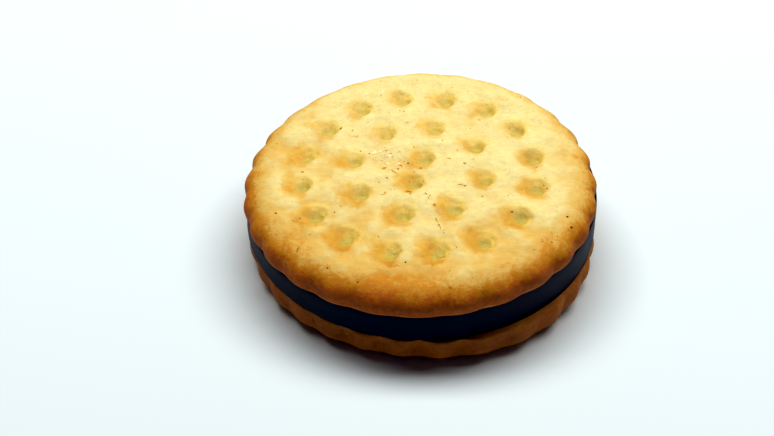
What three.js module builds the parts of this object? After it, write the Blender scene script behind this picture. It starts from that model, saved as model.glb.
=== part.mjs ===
// A sandwich biscuit: two round scalloped biscuits, docked faces outward, with a layer of
// chocolate cream between their flat bases. Millimetres, +Z up. It lies on its lower biscuit,
// with the origin on the floor below the middle of the whole.
import * as THREE from 'three';

// ---- Driving dimensions ---------------------------------------------------

// A wave round the outline: how often it rises in one turn, how high, and where it crests.
const wave = (times, height, crest) => ({ times, height, crest });

// The two biscuits. Radius is the mean one at the widest point of the edge, heights are over
// the flat base, and angles are degrees in the biscuit's own frame, docked face up.
const UPPER = {
  radius: 32.5,
  widestHeight: 1.6,
  baseInset: 0.8,          // of the base's outline, inside the widest point
  shoulderWidth: 5.6,      // of the rounding, from the widest point in to the face
  shoulderHeight: 5.2,     // of the face at the end of that rounding
  fullness: 2,             // of the rounding: 2 is an ellipse, and more is squarer
  crown: 0.6,              // further rise of the face to its middle
  ceiling: Infinity,       // nothing has worn its face
  lobes: 28,
  lobeDepth: 0.6,          // from crest to notch, at the widest point
  lobeTurn: -2.4,
  lobeDrift: wave(2, 2.0, 125),        // degrees that the lobes stray from even spacing
  lobeUnevenness: wave(2, 0.3, 0),     // share by which their depths differ
  outOfRound: [wave(2, 0.22, -50), wave(3, 0.18, -38)],
};
const LOWER = {
  radius: 32.95,
  widestHeight: 1.8,
  baseInset: 0.55,
  shoulderWidth: 4.0,
  shoulderHeight: 5.3,
  fullness: 3,
  crown: 0.6,
  ceiling: 5.75,           // where its face is worn flat by what it lies on
  lobes: 30,
  lobeDepth: 0.85,
  lobeTurn: 0.6,
  lobeDrift: wave(3, 1.7, -17),
  lobeUnevenness: wave(2, 0.2, 90),
  outOfRound: [wave(2, 0.25, 80), wave(3, 0.29, 59.5), wave(4, 0.29, -42)],
};
const LIP_SHARE = 0.35;         // of the lobes' depth that is left at the edge of the base
const SWELL = 0.14;             // soft hills and hollows of both faces

// The docking holes, in three rings round the middle.
const DOCK_RINGS = [
  { holes: 16, radius: 21.7, turn: 120 },
  { holes: 8, radius: 12.3, turn: 120 },
  { holes: 2, radius: 3.45, turn: 75 },
];
const HOLE_RADIUS = 2.6;        // out to where the lip is level again
const HOLE_FLOOR_SHARE = 0.18;  // of that radius, for the level floor
const HOLE_DEPTH = 1.7;
const HOLE_SCATTER = 0.2;       // by which a hole is off its place in the ring
const HOLE_UNEVENNESS = 0.12;   // share by which the depths differ

// The cream, and how the upper biscuit lies on it.
const CREAM_RADIUS = 32.4;      // the mean one, as it is a little wider along X
const CREAM_OVAL = 0.2;
const CREAM_EDGE_ROUNDING = 0.2;
const CREAM_THICKNESS = 5.5;    // at the middle
const TOP_TILT = 2.7;           // degrees, up towards +X
const SEAM = 0.3;               // clearance where two pieces meet

// Places of the middles, from the middle of the lower biscuit.
const TOP_SHIFT = new THREE.Vector2(-0.69, -0.08);
const CREAM_SHIFT = new THREE.Vector2(-0.4, 0.21);

// How finely the surfaces are divided.
const POINTS_PER_LOBE = 5;
const BASE_EDGE_STEPS = 2;
const ROUNDING_STEPS = 4;
const RINGS_PER_HOLE = 6;
const POINTS_PER_DOCK_RING = [144, 80, 40];
const CREAM_POINTS = 72;
const CREAM_SIDE_STEPS = 4;

const TURN = 2 * Math.PI;
const radians = THREE.MathUtils.degToRad;

// ---- Closed shells built from rings ---------------------------------------

// Joins two rings of any point counts. It goes round both and always steps the one that lags.
function stitch(lower, upper, triangles) {
  let i = 0;
  let j = 0;
  while (i < lower.count || j < upper.count) {
    const here = lower.first + (i % lower.count);
    const above = upper.first + (j % upper.count);
    const stepLower = (i + 1) * upper.count <= (j + 1) * lower.count;
    if (stepLower) {
      i += 1;
    } else {
      j += 1;
    }
    const ahead = stepLower
      ? lower.first + (i % lower.count)
      : upper.first + (j % upper.count);
    if (ahead !== here && ahead !== above) {
      triangles.push(here, ahead, above);
    }
  }
}

// A closed shell from rings listed from the lower pole, out and up, to the upper pole.
// A ring is a list of Vector3, anticlockwise from above, and a pole is a ring of one point.
function shell(rings) {
  const points = rings.flat();
  const triangles = [];
  let first = 0;
  for (let k = 0; k + 1 < rings.length; k += 1) {
    const lower = { first, count: rings[k].length };
    first += lower.count;
    stitch(lower, { first, count: rings[k + 1].length }, triangles);
  }
  const geometry = new THREE.BufferGeometry().setFromPoints(points);
  geometry.setIndex(triangles);
  geometry.computeVertexNormals();
  return geometry;
}

function ring(count, pointAt) {
  return Array.from({ length: count }, (_, k) => pointAt((k / count) * TURN));
}

// ---- The biscuit ----------------------------------------------------------

// A repeatable number from -1 to 1.
function scatter(seed) {
  const value = Math.sin(seed * 12.9898 + 4.1) * 43758.5453;
  return 2 * (value - Math.floor(value)) - 1;
}

function dockingHoles() {
  const holes = [];
  for (const dock of DOCK_RINGS) {
    for (let k = 0; k < dock.holes; k += 1) {
      const seed = holes.length + 1;
      const angle = radians(dock.turn) - (k / dock.holes) * TURN;
      holes.push({
        x: dock.radius * Math.cos(angle) + HOLE_SCATTER * scatter(seed),
        y: dock.radius * Math.sin(angle) + HOLE_SCATTER * scatter(seed + 0.5),
        depth: HOLE_DEPTH * (1 + HOLE_UNEVENNESS * scatter(seed + 0.25)),
      });
    }
  }
  return holes;
}

const HOLES = dockingHoles();

function holeDepthAt(x, y) {
  let depth = 0;
  for (const hole of HOLES) {
    const share = Math.hypot(x - hole.x, y - hole.y) / HOLE_RADIUS;
    depth += hole.depth * (1 - THREE.MathUtils.smoothstep(share, HOLE_FLOOR_SHARE, 1));
  }
  return depth;
}

function swellAt(x, y) {
  const broad = Math.sin(0.21 * x + 0.8) * Math.cos(0.18 * y - 0.5);
  const fine = Math.sin(0.37 * x - 0.33 * y + 2.0);
  return SWELL * (0.6 * broad + 0.4 * fine);
}

function waveAt(angle, { times, height, crest }) {
  return height * Math.cos(times * (angle - radians(crest)));
}

// One biscuit, base down on z = 0, with its docked face up.
function biscuit(dough) {
  const crest = dough.radius + dough.lobeDepth / 3;
  const faceRadius = dough.radius - dough.shoulderWidth;
  const rimCount = dough.lobes * POINTS_PER_LOBE;
  const firstPoint = (Math.round((dough.lobeTurn / 360) * rimCount) / rimCount) * TURN;

  // How far the outline stands out from a true circle.
  const bulge = (azimuth) => dough.outOfRound.reduce((sum, term) => sum + waveAt(azimuth, term), 0);

  // How far the outline stands in from its crests.
  const lobeInset = (angle) => {
    const uneven = 1 + 0.2 * Math.sin(5 * angle + 1) + waveAt(angle, dough.lobeUnevenness);
    return dough.lobeDepth * uneven * (1 - Math.abs(Math.cos((dough.lobes * angle) / 2)));
  };

  // Height of the face. A ceiling is where it has been worn flat.
  const faceHeight = (x, y) => {
    const share = Math.min(1, Math.hypot(x, y) / faceRadius);
    const fade = 1 - THREE.MathUtils.smoothstep(share, 0.85, 1);
    const dome = dough.shoulderHeight + dough.crown * (1 - share * share) + fade * swellAt(x, y);
    return Math.min(dome, dough.ceiling) - holeDepthAt(x, y);
  };

  // A ring of the edge: its lobes are as deep as lobing says, 0 to 1.
  const edgeRing = (count, ringRadius, height, lobing) => ring(count, (turned) => {
    const angle = turned - firstPoint;
    const drift = radians(dough.lobeTurn + waveAt(angle, dough.lobeDrift));
    const azimuth = angle + drift;
    const r = ringRadius + bulge(azimuth) - lobing * lobeInset(angle);
    return new THREE.Vector3(r * Math.cos(azimuth), r * Math.sin(azimuth), height);
  });
  // A ring of the face, turned by less than one step so that a point falls on each hole.
  const faceRing = (count, ringRadius, turn) => ring(count, (angle) => {
    const azimuth = angle + radians(turn % (360 / count));
    const x = ringRadius * Math.cos(azimuth);
    const y = ringRadius * Math.sin(azimuth);
    return new THREE.Vector3(x, y, faceHeight(x, y));
  });

  // Flat base.
  const baseRadius = crest - dough.baseInset;
  const rings = [[new THREE.Vector3(0, 0, 0)]];
  rings.push(edgeRing(dough.lobes, 0.4 * baseRadius, 0, 0));
  rings.push(edgeRing(rimCount / 2, 0.85 * baseRadius, 0, 0));

  // Edge: rounded out to the widest point, then over to the face. The lobes are deepest at
  // the widest point and die away towards the base and the face.
  for (let k = 0; k < BASE_EDGE_STEPS; k += 1) {
    const turn = ((k / BASE_EDGE_STEPS) * Math.PI) / 2;
    const height = dough.widestHeight * (1 - Math.cos(turn));
    const lobing = THREE.MathUtils.lerp(LIP_SHARE, 1, k / BASE_EDGE_STEPS);
    rings.push(edgeRing(rimCount, baseRadius + dough.baseInset * Math.sin(turn), height, lobing));
  }
  const reach = crest - faceRadius;
  const rise = dough.shoulderHeight - dough.widestHeight;
  for (let k = 0; k <= ROUNDING_STEPS; k += 1) {
    const turn = ((k / ROUNDING_STEPS) * Math.PI) / 2;
    const out = Math.max(0, Math.cos(turn)) ** (2 / dough.fullness);
    const up = Math.sin(turn) ** (2 / dough.fullness);
    const height = dough.widestHeight + rise * up;
    rings.push(edgeRing(rimCount, faceRadius + reach * out, height, Math.cos(turn) ** 2));
  }

  // Face: closely spaced rings over each circle of holes.
  DOCK_RINGS.forEach((dock, index) => {
    for (let k = 0; k <= RINGS_PER_HOLE; k += 1) {
      const across = 1 - (2 * k) / RINGS_PER_HOLE;
      const ringRadius = dock.radius + across * HOLE_RADIUS;
      rings.push(faceRing(POINTS_PER_DOCK_RING[index], ringRadius, dock.turn));
    }
  });
  rings.push([new THREE.Vector3(0, 0, faceHeight(0, 0))]);
  return shell(rings);
}

// ---- The cream ------------------------------------------------------------

// A thick disc. Its upper face slopes with the biscuit that lies on it.
function creamLayer(rise) {
  const heightAt = (share, x) => {
    const top = CREAM_THICKNESS - SEAM + rise * x;
    return SEAM + share * (top - SEAM);
  };
  const layerRing = (count, radius, share) => ring(count, (angle) => {
    const reach = radius + CREAM_OVAL * Math.cos(2 * angle);
    const x = reach * Math.cos(angle);
    return new THREE.Vector3(x, reach * Math.sin(angle), heightAt(share, x));
  });
  const innerCount = CREAM_POINTS / 3;
  const rings = [[new THREE.Vector3(0, 0, heightAt(0, 0))]];
  rings.push(layerRing(innerCount, CREAM_RADIUS / 2, 0));
  for (let k = 0; k <= CREAM_SIDE_STEPS; k += 1) {
    const share = k / CREAM_SIDE_STEPS;
    const inset = CREAM_EDGE_ROUNDING * (2 * share - 1) ** 4;
    rings.push(layerRing(CREAM_POINTS, CREAM_RADIUS - inset, share));
  }
  rings.push(layerRing(innerCount, CREAM_RADIUS / 2, 1));
  rings.push([new THREE.Vector3(0, 0, heightAt(1, 0))]);
  return shell(rings);
}

// ---- The sandwich ---------------------------------------------------------

const bakedCrust = new THREE.MeshStandardMaterial({ color: 0xe9bf62, roughness: 0.72, metalness: 0 });
const bakedUnderside = new THREE.MeshStandardMaterial({ color: 0xcf9040, roughness: 0.75, metalness: 0 });
const chocolateCream = new THREE.MeshStandardMaterial({ color: 0x14121a, roughness: 0.42, metalness: 0 });

function piece(name, geometry, material) {
  const mesh = new THREE.Mesh(geometry, material);
  mesh.name = name;
  return mesh;
}

const sandwich = new THREE.Group();

// The lower biscuit is turned over: its docked face is down and its base carries the cream.
const bottomBiscuit = piece('bottom_biscuit', biscuit(LOWER).rotateX(Math.PI), bakedUnderside);
const seamHeight = LOWER.ceiling;
bottomBiscuit.position.set(0, 0, seamHeight);
sandwich.add(bottomBiscuit);

const slope = Math.tan(radians(TOP_TILT));
const cream = piece('chocolate_cream', creamLayer(slope), chocolateCream);
cream.position.set(CREAM_SHIFT.x, CREAM_SHIFT.y, seamHeight);
sandwich.add(cream);

const topBiscuit = piece('top_biscuit', biscuit(UPPER), bakedCrust);
const creamRise = slope * (TOP_SHIFT.x - CREAM_SHIFT.x);
topBiscuit.position.set(TOP_SHIFT.x, TOP_SHIFT.y, seamHeight + CREAM_THICKNESS + creamRise);
topBiscuit.rotation.y = -radians(TOP_TILT);
sandwich.add(topBiscuit);

// The origin goes on the floor below the middle of the whole.
const bounds = new THREE.Box3().setFromObject(sandwich, true);
const middle = bounds.getCenter(new THREE.Vector3());
sandwich.position.set(-middle.x, -middle.y, -bounds.min.z);

export default sandwich;
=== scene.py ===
import math

import bpy
from mathutils import Matrix, Vector


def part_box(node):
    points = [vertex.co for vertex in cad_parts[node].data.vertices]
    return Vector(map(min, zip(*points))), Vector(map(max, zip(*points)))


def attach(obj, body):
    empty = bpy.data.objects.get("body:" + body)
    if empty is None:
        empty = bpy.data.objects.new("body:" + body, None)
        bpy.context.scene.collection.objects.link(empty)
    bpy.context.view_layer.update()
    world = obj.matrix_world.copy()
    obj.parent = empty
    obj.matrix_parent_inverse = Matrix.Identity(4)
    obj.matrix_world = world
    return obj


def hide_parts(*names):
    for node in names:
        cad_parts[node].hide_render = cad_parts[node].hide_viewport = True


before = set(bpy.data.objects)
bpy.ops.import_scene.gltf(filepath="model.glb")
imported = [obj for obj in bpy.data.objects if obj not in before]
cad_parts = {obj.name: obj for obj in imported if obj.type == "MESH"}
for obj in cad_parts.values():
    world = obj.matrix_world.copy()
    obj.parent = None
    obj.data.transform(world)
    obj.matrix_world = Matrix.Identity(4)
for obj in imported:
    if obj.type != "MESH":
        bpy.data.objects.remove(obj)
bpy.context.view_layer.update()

MM = 0.001

# ---- Dough blanks ----------------------------------------------------------
# Both biscuits start as a stamped piece of dough: a flat base, an edge that rounds over to
# the face, and a face that rises a little to its middle. The blank is a closed shell of
# evenly spaced rings, and it carries how far round its section each point lies.

SKIN_STEP = 0.23 * MM
ROUNDING_STEPS = 34
BASE_EDGE_STEPS = 8
RING_GROWTH = 6

# Inside a flat side the rings get coarser: one point in so many, and how far out the ring lies.
FLAT_RINGS = ((8, 0.2), (4, 0.6), (2, 0.8))

# Marks of the section, kept in the attribute "section".
MIDDLE_MARK, SHOULDER_MARK, WIDEST_MARK, BASE_MARK, BASE_MIDDLE_MARK = range(5)


def ring_points(count, radius, height):
    """Points of one level ring, anticlockwise from above. A pole is a ring of one point."""
    turns = (2 * math.pi * k / count for k in range(count))
    return [(radius * math.cos(turn), radius * math.sin(turn), height) for turn in turns]


def stitch(lower_first, lower_count, upper_first, upper_count):
    """Triangles that join two rings: it goes round both and steps the one that lags."""
    triangles = []
    i = j = 0
    while i < lower_count or j < upper_count:
        here = lower_first + i % lower_count
        above = upper_first + j % upper_count
        if (i + 1) * upper_count <= (j + 1) * lower_count:
            i += 1
            ahead = lower_first + i % lower_count
        else:
            j += 1
            ahead = upper_first + j % upper_count
        if ahead not in (here, above):
            triangles.append((here, ahead, above))
    return triangles


def shell(name, rings):
    """A closed mesh from (count, radius, height, mark) rings, listed from the lower pole up."""
    points, marks, triangles = [], [], []
    previous = None
    for count, radius, height, mark in rings:
        first = len(points)
        points += ring_points(count, radius, height)
        marks += [mark] * count
        if previous:
            triangles += stitch(*previous, first, count)
        previous = (first, count)
    mesh = bpy.data.meshes.new(name)
    mesh.from_pydata(points, [], triangles)
    mesh.attributes.new("section", "FLOAT", "POINT").data.foreach_set("value", marks)
    mesh.shade_smooth()
    made = bpy.data.objects.new(name, mesh)
    bpy.context.scene.collection.objects.link(made)
    return made


def dough_blank(name, radius, widest_height, base_inset, shoulder_width, shoulder_height,
                fullness, crown):
    """One blank, base down on z = 0. Fullness 2 rounds its edge as an ellipse, more is squarer."""
    face_radius = radius - shoulder_width
    base_radius = radius - base_inset
    face_rings = round(face_radius / SKIN_STEP)
    rim_count = RING_GROWTH * face_rings
    rings = [(1, 0, 0, BASE_MIDDLE_MARK)]
    for one_in, reach in FLAT_RINGS:
        rings.append((rim_count // one_in, base_radius * reach, 0, BASE_MARK + 1 - reach))
    for k in range(BASE_EDGE_STEPS):
        turn = 0.5 * math.pi * k / BASE_EDGE_STEPS
        reach = base_radius + base_inset * math.sin(turn)
        height = widest_height * (1 - math.cos(turn))
        rings.append((rim_count, reach, height, BASE_MARK - k / BASE_EDGE_STEPS))
    for k in range(ROUNDING_STEPS):
        turn = 0.5 * math.pi * k / ROUNDING_STEPS
        reach = face_radius + shoulder_width * math.cos(turn) ** (2 / fullness)
        height = widest_height + (shoulder_height - widest_height) * math.sin(turn) ** (2 / fullness)
        rings.append((rim_count, reach, height, WIDEST_MARK - k / ROUNDING_STEPS))
    for k in range(face_rings, 0, -1):
        share = k / face_rings
        height = shoulder_height + crown * (1 - share * share)
        rings.append((RING_GROWTH * k, face_radius * share, height, SHOULDER_MARK * share))
    rings.append((1, 0, shoulder_height + crown, MIDDLE_MARK))
    return shell(name, rings)


# ---- Cutting and docking ---------------------------------------------------
# The cutter leaves a scalloped outline and the docking pins leave three rings of round
# holes. Baking then lifts soft swells between the holes and a fine crumb over the skin.
# One tree does this to either blank.

# Holes in each ring, its radius, and the bearing of its first hole in degrees.
DOCK_RINGS = ((16, 21.7 * MM, 120), (8, 12.3 * MM, 120), (2, 3.45 * MM, 75))
HOLE_RADIUS = 2.45 * MM
HOLE_EDGE_SHARE = 1.05
HOLE_FLOOR_SHARE = 0.15
HOLE_DEPTH = 0.9 * MM
PIN_LEAN = (0.55 * MM, -0.3 * MM, 0.0)
FUNNEL_RADIUS = 5.2 * MM
FUNNEL_DEPTH = 0.35 * MM

# How much the holes differ: in place, in radius, in depth and along their wavering edge.
HOLE_SCATTER = 0.2 * MM
RADIUS_SPREAD = 0.1
DEPTH_SPREAD = 0.12
EDGE_WAVER = 0.35 * MM
EDGE_WAVER_SIZE = 3.0 * MM

# Marks of the section where the docked face and the swelling face end.
DOCKED_FACE_END = (1.35, 1.15)
SWELLING_FACE_END = (1.5, 0.95)
SWELL = 0.52 * MM
SWELL_SIZES = (14 * MM, 5 * MM)
SWELL_GAIN = 2.5
CRUMB_RELIEF = 0.06 * MM
CRUMB_SIZE = 1.3 * MM
PIT_SIZE = 0.8 * MM
PIT_SHARE = 1.5

# How much the cut goes in at the lip and in a plain lobe, and how the lobes' depths differ:
# times round, share and crest of each wave.
LIP_SHARE = 0.35
PLAIN_LOBE_SHARE = 0.8
LOBE_WAVES = ((5, 0.2, 0.3), (9, 0.15, 0.1))
DEEPEST_LOBES_SHARE = 0.25


def wire(tree, socket, value):
    """Feeds an input: a link from another socket, or a plain value."""
    if isinstance(value, bpy.types.NodeSocket):
        tree.links.new(value, socket)
    else:
        socket.default_value = value


def node(tree, kind, settings=None, **inputs):
    """Adds a node, sets its options, feeds its named inputs and returns it."""
    made = tree.nodes.new(kind)
    for option, choice in (settings or {}).items():
        setattr(made, option, choice)
    for name, value in inputs.items():
        wire(tree, made.inputs[name.replace("_", " ")], value)
    return made


def calc(tree, operation, *values):
    """One step of arithmetic on numbers."""
    made = node(tree, "ShaderNodeMath", {"operation": operation})
    for socket, value in zip(made.inputs, values):
        wire(tree, socket, value)
    return made.outputs[0]


def vector_calc(tree, operation, *values):
    """One step of arithmetic on vectors. Its first output is a vector and its second a number."""
    made = node(tree, "ShaderNodeVectorMath", {"operation": operation})
    for socket, value in zip(made.inputs, values):
        wire(tree, socket, value)
    return made


def scaled(tree, vector, factor):
    """A vector made longer or shorter."""
    made = node(tree, "ShaderNodeVectorMath", {"operation": "SCALE"}, Vector=vector, Scale=factor)
    return made.outputs[0]


def ramp(tree, value, start, end, low=0.0, high=1.0):
    """A smooth step of a number from low at start to high at end."""
    made = node(tree, "ShaderNodeMapRange", {"interpolation_type": "SMOOTHSTEP"})
    for socket, given in zip(made.inputs, (value, start, end, low, high)):
        wire(tree, socket, given)
    return made.outputs[0]


def noise(tree, place, size, detail=2.0, roughness=0.5, seed=0.0):
    """Smooth random numbers round 0.5, with features of about this size in metres."""
    made = node(tree, "ShaderNodeTexNoise", {"noise_dimensions": "4D"}, Vector=place, W=seed,
                Scale=1 / size, Detail=detail, Roughness=roughness)
    return made.outputs[0]


def wave(tree, angle, times, height, crest):
    """height * cos(times * (angle - crest))"""
    turned = calc(tree, "MULTIPLY", calc(tree, "SUBTRACT", angle, crest), times)
    return calc(tree, "MULTIPLY", calc(tree, "COSINE", turned), height)


def stored(tree, name, kind="FLOAT"):
    """What the mesh keeps for each point under this name."""
    made = node(tree, "GeometryNodeInputNamedAttribute", {"data_type": kind}, Name=name)
    return made.outputs[0]


def shape_tree(name, inputs):
    """A tree with a shape in, a shape out and named inputs, given as name: (kind, value)."""
    tree = bpy.data.node_groups.new(name, "GeometryNodeTree")
    tree.interface.new_socket("Geometry", in_out="INPUT", socket_type="NodeSocketGeometry")
    tree.interface.new_socket("Geometry", in_out="OUTPUT", socket_type="NodeSocketGeometry")
    for label, (kind, value) in inputs.items():
        socket = tree.interface.new_socket(label, in_out="INPUT", socket_type="NodeSocket" + kind)
        if value is not None:
            socket.default_value = value
    return tree, node(tree, "NodeGroupInput").outputs, node(tree, "NodeGroupOutput").inputs[0]


def outline(tree, given, azimuth, section):
    """How far a point moves outward, as the dough is out of round and scalloped, and its crease."""
    round_again = wave(tree, azimuth, 2, given["Oval"], given["Oval Crest"])
    for times, label in ((3, "Three-Sided"), (4, "Four-Sided")):
        more = wave(tree, azimuth, times, given[label], given[label + " Crest"])
        round_again = calc(tree, "ADD", round_again, more)
    toward_rim = ramp(tree, section, MIDDLE_MARK, SHOULDER_MARK)
    bulge = calc(tree, "MULTIPLY", round_again, toward_rim)

    turned = calc(tree, "SUBTRACT", azimuth, given["Lobe Turn"])
    drift = wave(tree, turned, given["Drift Waves"], given["Lobe Drift"], given["Drift Crest"])
    angle = calc(tree, "SUBTRACT", turned, drift)
    half_turns = calc(tree, "MULTIPLY", angle, calc(tree, "MULTIPLY", given["Lobes"], 0.5))
    crease = calc(tree, "SUBTRACT", 1.0, calc(tree, "ABSOLUTE", calc(tree, "COSINE", half_turns)))
    dip = calc(tree, "POWER", calc(tree, "SINE", half_turns), 2.0)
    dip = calc(tree, "MULTIPLY", dip, PLAIN_LOBE_SHARE)
    uneven = wave(tree, angle, 2, DEEPEST_LOBES_SHARE, given["Deepest Lobes"])
    for times, share, crest in LOBE_WAVES:
        uneven = calc(tree, "ADD", uneven, wave(tree, angle, times, share, crest))
    depth = calc(tree, "MULTIPLY", given["Lobe Depth"], calc(tree, "ADD", uneven, 1.0))
    rising = node(tree, "ShaderNodeMapRange", Value=section,
                  **{"From_Min": SHOULDER_MARK, "From_Max": WIDEST_MARK}).outputs[0]
    over = calc(tree, "SINE", calc(tree, "MULTIPLY", rising, 0.5 * math.pi))
    over = calc(tree, "POWER", over, given["Lobe Fade"])
    sharp = calc(tree, "MULTIPLY", over, given["Crease Sharpness"])
    notch = node(tree, "ShaderNodeMix", {"data_type": "FLOAT"}, Factor=sharp, A=dip,
                 B=crease).outputs[0]
    lip = node(tree, "ShaderNodeMapRange", Value=section, **{
        "From_Min": WIDEST_MARK, "From_Max": BASE_MARK, "To_Min": 1.0, "To_Max": LIP_SHARE,
    }).outputs[0]
    scallop = calc(tree, "MULTIPLY", calc(tree, "MULTIPLY", notch, depth), over)
    moved = calc(tree, "SUBTRACT", bulge, calc(tree, "MULTIPLY", scallop, lip))
    moved = calc(tree, "MULTIPLY", moved, ramp(tree, section, BASE_MARK, BASE_MIDDLE_MARK, 1.0, 0.0))
    return moved, calc(tree, "MULTIPLY", crease, over)


def dock_pins(tree, given):
    """Points at the middles of the docking holes, a little off their even places."""
    rings = node(tree, "GeometryNodeJoinGeometry")
    index = node(tree, "GeometryNodeInputIndex").outputs[0]
    for holes, radius, turn in DOCK_RINGS:
        angle = calc(tree, "MULTIPLY_ADD", index, -2 * math.pi / holes, math.radians(turn))
        spot = node(tree, "ShaderNodeCombineXYZ", X=calc(tree, "COSINE", angle),
                    Y=calc(tree, "SINE", angle)).outputs[0]
        spot = scaled(tree, spot, radius)
        ring = node(tree, "GeometryNodePoints", Count=holes, Position=spot).outputs[0]
        tree.links.new(ring, rings.inputs[0])
    scatter = node(tree, "FunctionNodeRandomValue", {"data_type": "FLOAT_VECTOR"},
                   Seed=given["Seed"])
    scatter.inputs["Min"].default_value = (-HOLE_SCATTER, -HOLE_SCATTER, 0.0)
    scatter.inputs["Max"].default_value = (HOLE_SCATTER, HOLE_SCATTER, 0.0)
    moved = node(tree, "GeometryNodeSetPosition", Geometry=rings.outputs[0],
                 Offset=scatter.outputs[0])
    return moved.outputs[0]


def cut_and_dock_tree():
    """Turns a blank into a biscuit: its outline, its holes, its swells and its crumb."""
    tree, given, result = shape_tree("cut and dock", {
        "Lobes": ("Float", 28.0),
        "Lobe Depth": ("Float", 0.7 * MM),
        "Lobe Fade": ("Float", 3.0),
        "Crease Sharpness": ("Float", 0.7),
        "Lobe Turn": ("Float", 0.0),
        "Lobe Drift": ("Float", 0.0),
        "Drift Waves": ("Float", 2.0),
        "Drift Crest": ("Float", 0.0),
        "Deepest Lobes": ("Float", 0.0),
        "Oval": ("Float", 0.0),
        "Oval Crest": ("Float", 0.0),
        "Three-Sided": ("Float", 0.0),
        "Three-Sided Crest": ("Float", 0.0),
        "Four-Sided": ("Float", 0.0),
        "Four-Sided Crest": ("Float", 0.0),
        "Hole Radius": ("Float", HOLE_RADIUS),
        "Hole Depth": ("Float", HOLE_DEPTH),
        "Swell": ("Float", SWELL),
        "Crumb Relief": ("Float", CRUMB_RELIEF),
        "Rest Height": ("Float", 1.0),
        "Seed": ("Int", 0),
        "Material": ("Material", None),
    })
    place = node(tree, "GeometryNodeInputPosition").outputs[0]
    x, y, z = node(tree, "ShaderNodeSeparateXYZ", Vector=place).outputs
    flat = node(tree, "ShaderNodeCombineXYZ", X=x, Y=y).outputs[0]
    section = stored(tree, "section")
    on_face = ramp(tree, section, *DOCKED_FACE_END)

    # Docking holes: each is a bowl whose floor is off its middle, in a wide shallow funnel.
    nearest = node(tree, "GeometryNodeProximity", {"target_element": "POINTS"},
                   Geometry=dock_pins(tree, given), Sample_Position=flat)
    lot = node(tree, "ShaderNodeTexWhiteNoise", {"noise_dimensions": "3D"},
               Vector=nearest.outputs["Position"]).outputs[0]
    waver = calc(tree, "MULTIPLY_ADD", noise(tree, flat, EDGE_WAVER_SIZE, seed=given["Seed"]),
                 2 * EDGE_WAVER, -EDGE_WAVER)
    reach = calc(tree, "MULTIPLY_ADD", lot, 2 * RADIUS_SPREAD, 1 - RADIUS_SPREAD)
    reach = calc(tree, "MULTIPLY", given["Hole Radius"], reach)
    off_middle = vector_calc(tree, "SUBTRACT", flat, nearest.outputs["Position"]).outputs[0]
    off_floor = vector_calc(tree, "SUBTRACT", off_middle, PIN_LEAN).outputs[0]
    off_way = vector_calc(tree, "NORMALIZE", off_floor).outputs[0]
    leaning = vector_calc(tree, "DOT_PRODUCT", off_way, PIN_LEAN).outputs["Value"]
    off_floor = vector_calc(tree, "LENGTH", off_floor).outputs["Value"]
    away = calc(tree, "DIVIDE", calc(tree, "ADD", off_floor, waver),
                calc(tree, "SUBTRACT", reach, leaning))
    dock = calc(tree, "MULTIPLY", ramp(tree, away, HOLE_EDGE_SHARE, HOLE_FLOOR_SHARE), on_face)
    hole = calc(tree, "MULTIPLY", calc(tree, "MULTIPLY", dock, given["Hole Depth"]),
                calc(tree, "MULTIPLY_ADD", lot, 2 * DEPTH_SPREAD, 1 - DEPTH_SPREAD))
    funnel = ramp(tree, nearest.outputs["Distance"], FUNNEL_RADIUS, 0.0, 0.0, FUNNEL_DEPTH)
    hole = calc(tree, "MULTIPLY_ADD", funnel, on_face, hole)

    # The face: swells between the holes, worn level where it rests.
    broad, small = (
        calc(tree, "SUBTRACT", noise(tree, flat, size, seed=given["Seed"]), 0.5)
        for size in SWELL_SIZES
    )
    swell = calc(tree, "MULTIPLY", calc(tree, "ADD", broad, small),
                 calc(tree, "MULTIPLY", given["Swell"], SWELL_GAIN))
    lift = calc(tree, "MULTIPLY", swell, ramp(tree, section, *SWELLING_FACE_END))
    lifted = calc(tree, "ADD", lift, z)
    level = calc(tree, "SUBTRACT", calc(tree, "MINIMUM", lifted, given["Rest Height"]), hole)

    # The outline.
    outward = vector_calc(tree, "NORMALIZE", flat).outputs[0]
    move, crease = outline(tree, given, calc(tree, "ARCTAN2", y, x), section)
    cut = vector_calc(tree, "ADD", flat, scaled(tree, outward, move)).outputs[0]
    cut_x, cut_y, _ = node(tree, "ShaderNodeSeparateXYZ", Vector=cut).outputs
    moved = node(tree, "ShaderNodeCombineXYZ", X=cut_x, Y=cut_y, Z=level).outputs[0]
    shape = node(tree, "GeometryNodeSetPosition", Geometry=given["Geometry"],
                 Position=moved).outputs[0]

    # What the skin keeps for its colouring: how deep in a hole, how far from it, on which side of
    # it, how deep in a crease between two scallops, and how high on a swell, which the skin turns
    # into painted shade in the dips.
    side = vector_calc(tree, "DIVIDE", off_middle, (HOLE_RADIUS,) * 3).outputs[0]
    lift = calc(tree, "DIVIDE", lift, SWELL)
    for label, value in (("dock", dock), ("dock_away", away), ("crease", crease), ("lift", lift)):
        shape = node(tree, "GeometryNodeStoreNamedAttribute", {"data_type": "FLOAT"},
                     Geometry=shape, Name=label, Value=value).outputs[0]
    shape = node(tree, "GeometryNodeStoreNamedAttribute", {"data_type": "FLOAT_VECTOR"},
                 Geometry=shape, Name="dock_side", Value=side).outputs[0]

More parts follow.
